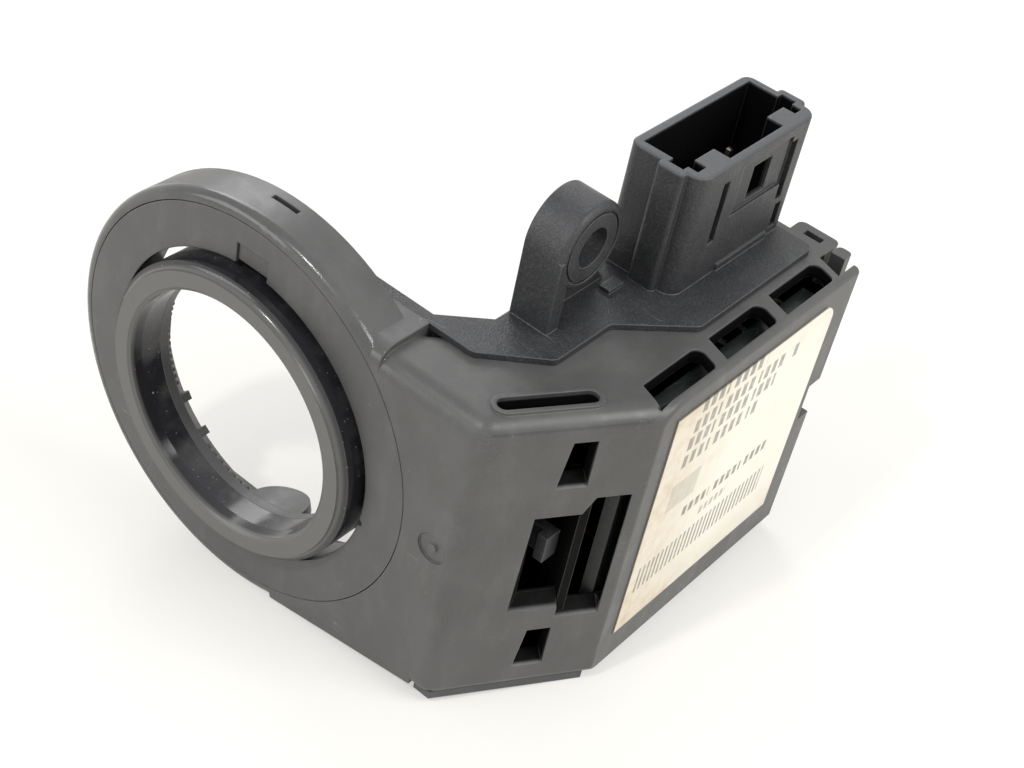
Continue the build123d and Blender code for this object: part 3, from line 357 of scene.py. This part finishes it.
@dataclass(frozen=True)
class Region:
    """A box in the part's frame, in millimetres, whose faces get a tone of their own.

    The tone multiplies the piece's colour. One below 1 is painted shade on the inner faces of an
    opening, and one above 1 paints the faces lighter. The box's sides fade over soft. A box behind
    the slant is cut off along the slanted wall, whose outer face runs from the first slant_x at y 0
    to the second at slant_y. The cut fades between the two slant_depths behind that face.
    """

    low: Triple
    high: Triple
    tone: float = 0.3
    behind_slant: bool = False
    soft: float = 0.12
    slant_x: Span = (32.6, 43.5)
    slant_y: float = 17.0
    slant_depths: Span = (0.05, 0.55)

    def mask(self, shader: Shader) -> Value:
        """Where the region is.

        Args:
            shader: The shader that it is for.

        Returns:
            One inside and zero outside.
        """
        places = [shader.axis(axis) for axis in Axis]
        spans = zip(places, self.low, self.high)
        slabs = [place.between(low * MM, high * MM, self.soft * MM) for place, low, high in spans]
        inside = slabs[0] * slabs[1] * slabs[2]
        if self.behind_slant:
            run = self.slant_x[1] - self.slant_x[0]
            length = math.hypot(run, self.slant_y)
            across = (places[0] - self.slant_x[0] * MM) * (-self.slant_y / length)
            depth = across + places[1] * (run / length)
            inside = inside * depth.step(self.slant_depths[0] * MM, self.slant_depths[1] * MM)
        return inside


@dataclass(frozen=True)
class Polish:
    """Where hands have polished a ring's rounded front edge, in millimetres.

    The rim's two numbers are distances inside the radius between which the polish sets in. It
    fades out along each of the fades, and makes the surface smoother by gloss.
    """

    radius: float
    rim: Span = (1.3, 0.8)
    fades: tuple[Fade, Fade] = (Fade(Axis.Y, 1.4, 0.9), Fade(Axis.X, 22.0, 18.0))
    gloss: float = 0.24

    def mask(self, shader: Shader) -> Value:
        """Where the polish is.

        Args:
            shader: The shader that it is for.

        Returns:
            One on the polished edge and zero elsewhere.
        """
        across, up = shader.axis(Axis.X), shader.axis(Axis.Z)
        start, end = ((self.radius - inset) * MM for inset in self.rim)
        edge = (across * across + up * up).root().step(start, end)
        return edge * self.fades[0].over(shader) * self.fades[1].over(shader)


@dataclass(frozen=True)
class MouldedPlastic:
    """Satin moulded plastic with a fine grain, handling haze, dust and faint scratches.

    Its grain has painted glints, its edges are lighter by wear and by painted highlight, and its
    regions get painted shade inside openings and painted light on chosen faces.

    Every depth and the radius of the softened edge are in metres. The fields that end in step say
    where a noise starts and ends to count, and those that start with rough are parts of the
    roughness.
    """

    name: str
    colour: Triple
    roughness: float
    grain: Cloud
    grain_depth: float
    shade_light_and_tone_regions: tuple[Region, ...] = ()
    pits: float = 0.0
    # Pale specks in the grain: partly the grain's own tone, partly painted glints.
    grain_tone_and_glint: float = 0.15
    polish: Polish | None = None

    edge: float = 0.22 * MM
    # Lighter colour on the softened edges: partly wear, partly painted highlight.
    edge_wear_and_highlight: Layer = Layer((0.17, 0.168, 0.16), 0.6)

    cloud: Cloud = Cloud(9.0 * MM, 3.0, 0.6)
    smear: Cloud = Cloud(2.6 * MM, 4.0, 0.6, (1.0, 1.0, 0.35))
    patch_step: Span = (0.38, 0.68)
    wipe_step: Span = (0.48, 0.70)
    speckle_step: Span = (0.50, 0.63)
    pit_step: Span = (0.50, 0.36)
    patch_haze: float = 0.25
    wipe_haze: float = 0.125
    pale_gain: float = 1.9
    pale_lift: float = 0.012
    pit_gain: float = 0.82
    smear_depth: float = 0.02 * MM

    motes: Specks = Specks(1.3 * MM, 0.07 * MM, 0.05)
    lint: Specks = Specks(3.7 * MM, 0.16 * MM, 0.03)
    dust: Layer = Layer((0.36, 0.34, 0.29), 0.55)

    hairs: Cloud = Cloud(1.1 * MM, 1.0, stretch=(0.12, 0.5, 3.0))
    hair_patches: Cloud = Cloud(5.0 * MM, 1.0)
    hair_step: Span = (0.006, 0.0)
    hair_patch_step: Span = (0.6, 0.7)
    hair_mark: Layer = Layer((0.4, 0.4, 0.4), 0.25)
    hair_depth: float = -0.004 * MM

    rough_patch: float = 0.10
    rough_wipe: float = -0.07
    rough_scratch: float = 0.1
    rough_offset: float = -0.03
    # Roughness and metallic where the regions paint shade on the openings' inner faces.
    painted_shade_rough: float = 0.4
    painted_shade_metallic: float = 0.9
    tone_cover: float = 0.95

    def build(self) -> Shader:
        """Makes the finish.

        Returns:
            The shader, whose material goes on a piece.
        """
        shader = Shader(self.name)
        shader.soften(self.edge)
        # The softened edges, painted lighter below: partly wear, partly painted highlight.
        worn_and_highlit_edges = shader.edges()
        fine, smear = shader.noise(self.grain), shader.noise(self.smear)
        patch = shader.noise(self.cloud).step(*self.patch_step)
        wipe = smear.step(*self.wipe_step)
        scratch = self.scratches(shader)

        haze = patch * self.patch_haze + wipe * self.wipe_haze
        # Pale specks in the grain: partly the grain's own tone, partly painted glints.
        haze = haze + fine.step(*self.speckle_step) * self.grain_tone_and_glint
        base = shader.mix(haze, self.colour, tinted(self.colour, self.pale_gain, self.pale_lift))
        if self.pits:
            pits = Layer(tinted(self.colour, self.pit_gain), self.pits)
            base = shader.lay(base, fine.step(*self.pit_step), pits)
        dust = shader.specks(self.motes).most(shader.specks(self.lint))
        base = shader.lay(base, dust, self.dust)
        base = shader.lay(base, scratch, self.hair_mark)

        rough = patch * self.rough_patch + wipe * self.rough_wipe + scratch * self.rough_scratch
        rough = rough + (self.roughness + self.rough_offset)
        painted_shade: Value | None = None
        # A tone below 1 is painted shade on an opening's inner faces; one above 1 paints faces
        # lighter.
        for region in self.shade_light_and_tone_regions:
            mask = region.mask(shader)
            tone = Layer(tinted(self.colour, region.tone), self.tone_cover)
            base = shader.lay(base, mask, tone)
            if region.tone < 1.0:
                painted_shade = mask if painted_shade is None else painted_shade.most(mask)
        if painted_shade is not None:
            # Painted shade: the openings' inner faces are painted dark, and a black metal there
            # takes their sheen away.
            shader.set(metallic=painted_shade * self.painted_shade_metallic)
            rough = rough + painted_shade * self.painted_shade_rough
        if self.polish:
            rough = rough - self.polish.mask(shader) * self.polish.gloss

        shader.set(base_color=shader.lay(base, worn_and_highlit_edges, self.edge_wear_and_highlight), roughness=rough)
        shader.bump(smear, self.smear_depth)
        shader.bump(fine, self.grain_depth)
        shader.bump(scratch, self.hair_depth)
        return shader

    def scratches(self, shader: Shader) -> Value:
        """Sparse hair scratches.

        Args:
            shader: The shader that they are for.

        Returns:
            One on a scratch and zero elsewhere.
        """
        line = (shader.noise(self.hairs) - 0.5).away().step(*self.hair_step)
        return line * shader.noise(self.hair_patches).step(*self.hair_patch_step)


@dataclass(frozen=True)
class GlossSleeve:
    """Black sleeve: satin on its front, polished and dusty on its walls.

    The front's place along Y and the bumps' depths are in metres. The spans of depth behind the
    front are in millimetres.
    """

    name: str
    front_y: float
    colour: Triple = (0.016, 0.016, 0.019)
    front_colour: Triple = (0.098, 0.096, 0.092)
    front_depths: Span = (0.9, 0.45)
    flat_depths: Span = (0.35, 0.1)
    film_depths: Span = (1.2, 3.6)

    fine: Cloud = Cloud(0.16 * MM, 3.0, 0.6)
    cloud: Cloud = Cloud(4.0 * MM, 3.0, 0.6)
    film_step: Span = (0.42, 0.7)
    film: Layer = Layer((0.20, 0.19, 0.17), 0.18)
    motes: Specks = Specks(0.50 * MM, 0.08 * MM, 0.42)
    flakes: Specks = Specks(1.5 * MM, 0.16 * MM, 0.22)
    dust: Layer = Layer((0.42, 0.40, 0.36), 0.7)
    wiped_front: float = 0.85
    fine_depth: float = 0.003 * MM
    mote_depth: float = 0.02 * MM

    roughness: float = 0.12
    rough_front: float = 0.06
    rough_flat: float = 0.18
    rough_film: float = 0.14
    rough_cloud: float = 0.06

    def build(self) -> Shader:
        """Makes the finish.

        Returns:
            The shader, whose material goes on the sleeve.
        """
        shader = Shader(self.name)
        front = self.behind(shader, self.front_depths)
        flat = self.behind(shader, self.flat_depths)
        fine, cloud = shader.noise(self.fine), shader.noise(self.cloud)
        motes = shader.specks(self.motes)
        film = cloud.step(*self.film_step) * self.behind(shader, self.film_depths)
        dust = motes.most(shader.specks(self.flakes)) * (1.0 - front * self.wiped_front)
        base = shader.mix(front, self.colour, self.front_colour)
        base = shader.lay(base, film, self.film)
        base = shader.lay(base, dust, self.dust)
        rough = front * self.rough_front + flat * self.rough_flat + film * self.rough_film
        rough = rough + cloud * self.rough_cloud + self.roughness
        shader.set(base_color=base, roughness=rough)
        shader.bump(fine, self.fine_depth)
        shader.bump(motes, self.mote_depth)
        return shader

    def behind(self, shader: Shader, depths: Span) -> Value:
        """A soft step between two depths behind the sleeve's front."""
        low, high = (self.front_y + depth * MM for depth in depths)
        return shader.axis(Axis.Y).step(low, high)


@dataclass(frozen=True)
class Row:
    """A row of print on the label, along Y, in millimetres.

    The row repeats a bar at every pitch, and share is the inked share of each pitch. The bars come
    in groups, as words do, and gap is the blank share at the start of each group. The tone is the
    strength of the ink.
    """

    start: float
    end: float
    low: float
    height: float
    pitch: float
    share: float
    tone: float = 1.0
    group: float = 6.7
    gap: float = 0.14


@dataclass(frozen=True)
class PrintedLabel:
    """Cream printed film with plain bars in place of its writing."""

    name: str
    film: Triple = (0.79, 0.76, 0.665)
    aged: Triple = (0.58, 0.475, 0.335)
    ink: Triple = (0.155, 0.143, 0.123)
    rows: tuple[Row, ...] = (
        Row(23.2, 37.6, 15.6, 1.9, 1.55, 0.62, 0.8),
        Row(22.6, 45.2, 12.9, 1.9, 1.55, 0.60, 0.75),
        Row(22.3, 41.4, 10.4, 1.9, 1.55, 0.60, 0.75),
        Row(22.3, 38.8, 7.7, 1.9, 1.55, 0.55, 0.75),
        Row(22.4, 29.2, 1.0, 4.2, 8.0, 1.0, 0.30),
        Row(26.6, 46.0, -2.3, 1.5, 1.3, 0.6, 0.85),
        Row(31.3, 38.0, -4.9, 1.2, 1.1, 0.6, 0.55),
        Row(21.4, 47.7, -10.6, 4.1, 0.9, 0.45, 0.8, 0.9, 0.0),
    )
    print_soft: float = 0.05 * MM
    rim_width: float = 0.13 * MM
    rim_soft: float = 0.039 * MM
    rim: Layer = Layer((0.10, 0.09, 0.08), 0.75)

    wear: Cloud = Cloud(1.0 * MM, 3.0, 0.7)
    wear_step: Span = (0.28, 0.55)
    wear_least: float = 0.65
    soil: Cloud = Cloud(7.0 * MM, 4.0, 0.65)
    soil_step: Span = (0.52, 0.75)
    streak: Cloud = Cloud(2.2 * MM, 4.0, 0.7)
    streak_step: Span = (0.40, 0.66)
    streak_least: float = 0.6
    spots: Specks = Specks(2.6 * MM, 0.22 * MM, 0.08)
    spot: Layer = Layer((0.24, 0.20, 0.16), 0.7)
    ages: tuple[Fade, ...] = (
        Fade(Axis.Y, 38.0, 20.0, 0.75),
        Fade(Axis.Z, -9.0, -17.0, 0.4),
        Fade(Axis.Z, 13.0, 17.5, 0.3),
    )
    age_soil: float = 0.25

    roughness: float = 0.38
    rough_soil: float = 0.1
    rough_ink: float = 0.05
    paper: Cloud = Cloud(0.3 * MM, 2.0)
    paper_depth: float = 0.003 * MM

    def build(self) -> Shader:
        """Makes the finish.

        Returns:
            The shader, whose material goes on the label.
        """
        shader = Shader(self.name)
        along, up = shader.axis(Axis.Y), shader.axis(Axis.Z)
        ink = self.printed(along, up)
        wear = shader.noise(self.wear).step(*self.wear_step) * (1.0 - self.wear_least)
        soil = shader.noise(self.soil).step(*self.soil_step)
        streak = shader.noise(self.streak).step(*self.streak_step) * (1.0 - self.streak_least)
        age = sum(fade.over(shader) for fade in self.ages) + soil * self.age_soil
        age = age * (streak + self.streak_least)
        base = shader.mix(age.least(1.0), self.film, self.aged)
        base = shader.lay(base, shader.specks(self.spots), self.spot)
        base = shader.mix(ink * (wear + self.wear_least), base, self.ink)
        base = shader.lay(base, self.cut_edge(along, up), self.rim)
        rough = soil * self.rough_soil + ink * self.rough_ink + self.roughness
        shader.set(base_color=base, roughness=rough)
        shader.bump(shader.noise(self.paper), self.paper_depth)
        return shader

    def printed(self, along: Value, up: Value) -> Value:
        """Where the rows of bars are printed.

        Args:
            along: The place along Y.
            up: The place along Z.

        Returns:
            The strength of the ink, and zero on bare film.
        """
        ink: Value | None = None
        for row in self.rows:
            field = along.between(row.start * MM, row.end * MM, self.print_soft)
            top = (row.low + row.height) * MM
            field = field * up.between(row.low * MM, top, self.print_soft)
            field = field * (self.within(along, row.start, row.pitch) < row.share)
            field = field * (self.within(along, row.start, row.group) > row.gap) * row.tone
            ink = field if ink is None else ink.most(field)
        return ink

    @staticmethod
    def within(along: Value, start: float, pitch: float) -> Value:
        """Place within each of a row's repeats, from zero to one."""
        return ((along - start * MM) * (1.0 / (pitch * MM))).fraction()

    def cut_edge(self, along: Value, up: Value) -> Value:
        """Where the label's cut edge is.

        Args:
            along: The place along Y.
            up: The place along Z.

        Returns:
            One along the cut edge and zero inside it.
        """
        low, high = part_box("label")
        width, soft = self.rim_width, self.rim_soft
        inside = along.between(low.y + width, high.y - width, soft)
        return 1.0 - inside * up.between(low.z + width, high.z - width, soft)


@dataclass(frozen=True)
class PlainFinish:
    """Finish of an inner piece: metal, ceramic or resin, with a little unevenness."""

    name: str
    colour: Triple
    roughness: float
    metallic: float = 0.0
    texture: Cloud = Cloud(0.4 * MM, 3.0, 0.6)
    texture_step: Span = (0.35, 0.7)
    texture_depth: float = 0.004 * MM
    dark_gain: float = 0.8
    rough_texture: float = 0.15
    rough_offset: float = -0.07

    def build(self) -> Shader:
        """Makes the finish.

        Returns:
            The shader, whose material goes on a piece.
        """
        shader = Shader(self.name)
        cloud = shader.noise(self.texture)
        dark = tinted(self.colour, self.dark_gain)
        base = shader.mix(cloud.step(*self.texture_step), self.colour, dark)
        rough = cloud * self.rough_texture + (self.roughness + self.rough_offset)
        shader.set(base_color=base, roughness=rough, metallic=self.metallic)
        shader.bump(cloud, self.texture_depth)
        return shader


@dataclass(frozen=True)
class BoardLaminate:
    """Circuit board: dark lacquer on its faces and grey laminate on its cut front edge."""

    name: str
    lacquer: Triple = (0.009, 0.012, 0.011)
    laminate: Triple = (0.072, 0.073, 0.070)
    track: Triple = (0.014, 0.020, 0.017)
    cut: tuple[Fade, Fade] = (Fade(Axis.Y, 17.0, 16.8), Fade(Axis.Z, 12.0, 9.0))
    weave: Cloud = Cloud(0.25 * MM, 3.0, 0.6)
    weave_gain: float = 0.4
    weave_least: float = 0.7
    lines: Cloud = Cloud(1.4 * MM, 0.0, stretch=(1.0, 0.25, 1.0))
    line_step: Span = (0.03, 0.02)
    track_depth: float = 0.02 * MM
    roughness: float = 0.3
    rough_cut: float = 0.3

    def build(self) -> Shader:
        """Makes the finish.

        Returns:
            The shader, whose material goes on the board.
        """
        shader = Shader(self.name)
        weave = shader.noise(self.weave) * self.weave_gain + self.weave_least
        tracks = (shader.noise(self.lines) - 0.5).away().step(*self.line_step)
        cut = self.cut[0].over(shader) * self.cut[1].over(shader)
        base = shader.mix(tracks, self.lacquer, self.track)
        base = shader.mix(cut * weave.least(1.0), base, self.laminate)
        shader.set(base_color=base, roughness=cut * self.rough_cut + self.roughness)
        shader.bump(tracks, self.track_depth)
        return shader


class Finishes:
    """The finishes of every CAD node."""

    def __init__(self) -> None:
        """Builds each finish once."""
        sleeve_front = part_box("bezel_sleeve")[0].y
        self.by_slot = {
            "housing_plastic": MouldedPlastic(
                "housing_plastic",
                (0.060, 0.0595, 0.058),
                0.40,
                Cloud(0.20 * MM, 3.0, 0.65),
                0.010 * MM,
                (
                    # Painted shade on the inner faces behind the windows and slots.
                    Region((24.2, 1.2, -20.4), (42.45, 55.2, 18.8), 0.08, True),
                    Region(
                        (28.0, 2.0, 14.0),
                        (42.45, 17.0, 19.75),
                        0.08,
                        True,
                        slant_depths=(2.0, 2.2),
                    ),
                    Region((38.3, 17.0, 14.0), (42.45, 55.2, 19.75), 0.08),
                ),
                polish=Polish(26.5),
            ),
            "cover_plastic": MouldedPlastic(
                "cover_plastic",
                (0.021, 0.0215, 0.0230),
                0.43,
                Cloud(0.24 * MM, 3.0, 0.65),
                0.070 * MM,
                (
                    # Painted shade inside the socket.
                    Region((23.65, 32.5, 21.0), (32.0, 54.4, 36.0), 0.12),
                    Region((27.7, 31.7, 21.0), (30.1, 55.2, 36.0), 0.12),
                    # Painted light on the shroud's top rim.
                    Region((22.4, 31.0, 36.15), (34.0, 56.5, 36.5), 3.2),
                    # Painted shade on the cover's faces inside the box.
                    Region((23.8, 12.0, -21.2), (40.0, 55.2, 19.8)),
                    Region((8.0, -3.0, -24.0), (46.0, 58.0, -21.4), 2.8),
                ),
                pits=0.5,
                grain_tone_and_glint=0.6,
            ),
            "sleeve_plastic": GlossSleeve("sleeve_plastic", sleeve_front),
            "bobbin_plastic": PlainFinish("bobbin_plastic", (0.30, 0.28, 0.24), 0.5),
            "copper_wire": PlainFinish("copper_wire", (0.26, 0.085, 0.035), 0.32, 1.0),
            "board_laminate": BoardLaminate("board_laminate"),
            "chip_package": PlainFinish("chip_package", (0.02, 0.02, 0.021), 0.5),
            "chip_ceramic": PlainFinish("chip_ceramic", (0.5, 0.4, 0.3), 0.45),
            "can_metal": PlainFinish("can_metal", (0.75, 0.75, 0.76), 0.28, 1.0),
            "choke_ferrite": PlainFinish("choke_ferrite", (0.06, 0.06, 0.065), 0.6),
            "terminal_metal": PlainFinish("terminal_metal", (0.24, 0.22, 0.19), 0.5, 1.0),
            "label_film": PrintedLabel("label_film"),
        }
        self.made = {slot: finish.build().material for slot, finish in self.by_slot.items()}

    def dress(self) -> None:
        """Gives every CAD node the finish of its slot."""
        for part in frame["record"]["subparts"]:
            node, slot = part["node"], part["material_slot"]
            piece = frame["nodes"][node]
            piece.data.materials.clear()
            piece.data.materials.append(self.made[slot])
            log.info("%s wears %s", node, slot)


@dataclass(frozen=True)
class Lamp:
    """Square soft lamp aimed at the part: its place, side and aim in metres, power in watts."""

    name: str
    place: Triple
    size: float
    power: float
    aim: Triple = (0.01, 0.02, 0.0)

    def add(self) -> None:
        """Adds the lamp to the scene."""
        data = bpy.data.lights.new(self.name, "AREA")
        data.size = self.size
        data.energy = self.power
        lamp = bpy.data.objects.new(self.name, data)
        bpy.context.scene.collection.objects.link(lamp)
        lamp.location = self.place
        lamp.rotation_mode = "QUATERNION"
        towards = Vector(self.aim) - Vector(self.place)
        lamp.rotation_quaternion = towards.to_track_quat("-Z", "Y")


@dataclass(frozen=True)
class Studio:
    """Floor that the part rests on, soft lamps, and the camera of the photograph.

    The camera's eye and clipping distances are in metres, its lens and sensor in millimetres. The
    floor's glow is the share of plain brightness that each kind of seen ray gets from it.
    """

    lamps: tuple[Lamp, ...] = (
        Lamp("key_lamp", (0.46, 0.12, 0.46), 0.30, 2.1),
        Lamp("back_lamp", (-0.50, 0.42, 0.35), 0.34, 1.4),
        Lamp("front_lamp", (-0.50, -0.58, 0.18), 0.40, 1.5),
        Lamp("rim_lamp", (-0.06, -0.38, 0.52), 0.05, 1.3),
    )
    floor_size: float = 1.6
    floor_colour: Triple = (0.86, 0.835, 0.775)
    floor_roughness: float = 0.85
    glow_colour: Triple = (1.0, 0.99, 0.965)
    glow: float = 0.45
    world_colour: Triple = (0.96, 0.975, 1.0)
    world_strength: float = 0.75
    backdrop_colour: Triple = (1.0, 1.0, 1.0)
    seen_rays: tuple[str, ...] = ("Is Camera Ray", "Is Glossy Ray", "Is Transmission Ray")
    eye: Triple = (0.10215, -0.11009, 0.13566)
    right: Triple = (0.758335, 0.629731, 0.168423)
    up: Triple = (-0.514498, 0.419558, 0.747839)
    lens: float = 62.1
    sensor: float = 36.0
    clip: Span = (0.01, 10.0)

    def build(self) -> None:
        """Adds the floor, the world, the lamps and the camera."""
        self.floor()
        self.world()
        for lamp in self.lamps:
            lamp.add()
        self.camera()

    def rest_tilt(self) -> tuple[float, Vector]:
        """How the part leans on its ring and the box's lower edge.

        Returns:
            The floor's turn about Y in radians, and a point on the floor.
        """
        low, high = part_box("rear_cover")
        corner = Vector((high.x, 0.0, low.z))
        radius = -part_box("main_housing")[0].z
        lean = math.atan2(corner.z, corner.x) - math.acos(radius / corner.length)
        return lean + math.pi / 2, corner

    def floor(self) -> None:
        """White floor, tilted to the part's rest."""
        turn, point = self.rest_tilt()
        bpy.ops.mesh.primitive_plane_add(
            size=self.floor_size, location=point, rotation=(0, -turn, 0)
        )
        floor = bpy.context.object
        floor.name = "floor"
        bpy.ops.object.transform_apply(location=True, rotation=True, scale=True)
        shader = Shader("floor_paper")
        paper = Shader.colour(self.floor_colour)
        shader.set(base_color=paper, roughness=self.floor_roughness)
        values = {"Color": Shader.colour(self.glow_colour), "Strength": 1.0}
        glow = shader.node("ShaderNodeEmission", values=values)
        path = shader.node("ShaderNodeLightPath")
        seen = sum(Value(shader, path.outputs[ray]) for ray in self.seen_rays) * self.glow
        values = {0: seen, 1: shader.surface.outputs[0], 2: glow.outputs[0]}
        mixed = shader.node("ShaderNodeMixShader", values=values)
        shader.feed(shader.output.inputs["Surface"], mixed.outputs[0])
        floor.data.materials.append(shader.material)

    def world(self) -> None:
        """Even light from all round, white to the camera."""
        world = bpy.data.worlds.new("studio")
        bpy.context.scene.world = world
        world.use_nodes = True
        tree = world.node_tree
        tree.nodes.clear()
        path = tree.nodes.new("ShaderNodeLightPath")
        seen = path.outputs[self.seen_rays[0]]
        for ray in self.seen_rays[1:]:
            added = tree.nodes.new("ShaderNodeMath")
            tree.links.new(seen, added.inputs[0])
            tree.links.new(path.outputs[ray], added.inputs[1])
            seen = added.outputs[0]
        light = tree.nodes.new("ShaderNodeBackground")
        light.inputs["Color"].default_value = Shader.colour(self.world_colour)
        light.inputs["Strength"].default_value = self.world_strength
        backdrop = tree.nodes.new("ShaderNodeBackground")
        backdrop.inputs["Color"].default_value = Shader.colour(self.backdrop_colour)
        mix = tree.nodes.new("ShaderNodeMixShader")
        output = tree.nodes.new("ShaderNodeOutputWorld")
        for link, socket in zip((seen, light.outputs[0], backdrop.outputs[0]), mix.inputs):
            tree.links.new(link, socket)
        tree.links.new(mix.outputs[0], output.inputs["Surface"])

    def camera(self) -> None:
        """Camera at the photograph's viewing angle."""
        data = bpy.data.cameras.new("camera")
        data.sensor_fit = "HORIZONTAL"
        data.sensor_width = self.sensor
        data.lens = self.lens
        data.clip_start, data.clip_end = self.clip
        camera = bpy.data.objects.new("camera", data)
        bpy.context.scene.collection.objects.link(camera)
        right, up = Vector(self.right), Vector(self.up)
        turn = Matrix((right, up, right.cross(up))).transposed().to_4x4()
        camera.matrix_world = Matrix.Translation(self.eye) @ turn
        bpy.context.scene.camera = camera


def main() -> None:
    """Builds the scene, piece by piece."""
    logging.basicConfig(level=logging.INFO, format="%(message)s")
    bpy.ops.object.select_all(action="DESELECT")
    Finishes().dress()
    Studio().build()
    bpy.context.scene.view_settings.view_transform = "Standard"
    log.info("sizes written")


if __name__ == "__main__":
    main()
